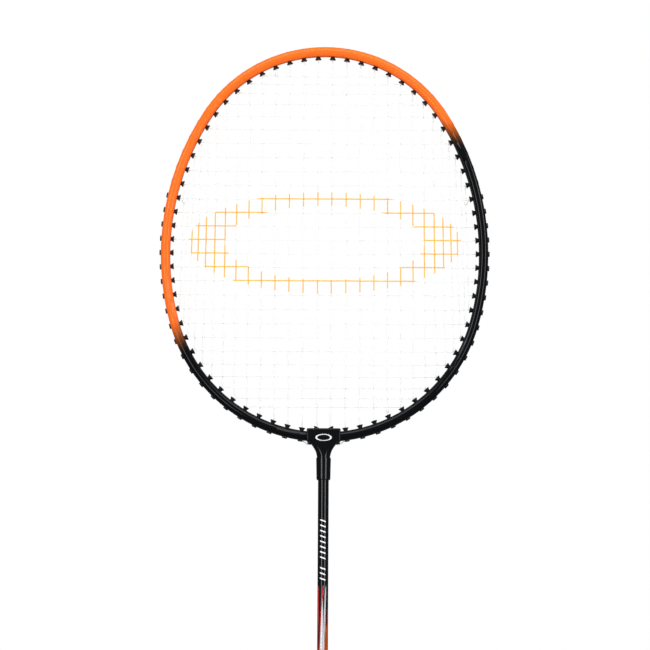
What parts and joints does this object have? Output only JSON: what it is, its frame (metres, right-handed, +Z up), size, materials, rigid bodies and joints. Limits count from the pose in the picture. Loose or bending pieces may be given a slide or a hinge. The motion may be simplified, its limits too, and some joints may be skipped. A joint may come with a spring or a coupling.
{
  "type": "badminton racket",
  "caption": "Badminton racket: oval grooved frame with woven strings through grommets, T-joint, slim shaft, cone and wrapped eight-sided handle.",
  "frame": {"origin": "middle of the butt end's flat face", "axes": "+Z up the shaft to the head's crown, +X across the head, +Y through the head's thickness"},
  "size_m": [0.2128, 0.0288, 0.6751],
  "materials": {
    "frame_lacquer": "gloss orange lacquer fading to black over carbon fibre",
    "spigot_nylon": "moulded, inside the tube",
    "joint_black": "gloss black moulding with a small plain mark",
    "shaft_lacquer": "gloss black lacquer with painted streaks over carbon fibre",
    "grommet_nylon": "satin black nylon",
    "string_nylon": "translucent white nylon with a printed orange band",
    "handle_wood": "bare sanded wood",
    "cone_plastic": "gloss black moulding",
    "grip_pu": "perforated soft wrap",
    "tape_black": "satin vinyl tape",
    "cap_plastic": "gloss black moulding",
    "badge_plastic": "gloss orange disc"
  },
  "bodies": {
    "root": {"frame_tube": "frame_lacquer", "frame_spigot": "spigot_nylon", "t_joint": "joint_black", "shaft": "shaft_lacquer", "grommets_crown": "grommet_nylon", "grommets_shoulders": "grommet_nylon", "grommets_flanks": "grommet_nylon", "grommets_hips": "grommet_nylon", "grommets_base": "grommet_nylon", "grommets_throat": "grommet_nylon", "main_strings": "string_nylon", "cross_strings": "string_nylon", "main_tie_knots": "string_nylon", "cross_tie_knots": "string_nylon", "handle_core": "handle_wood", "handle_cone": "cone_plastic", "grip_wrap": "grip_pu", "finishing_tape": "tape_black", "butt_cap": "cap_plastic", "butt_badge": "badge_plastic"}
  },
  "joints": []
}
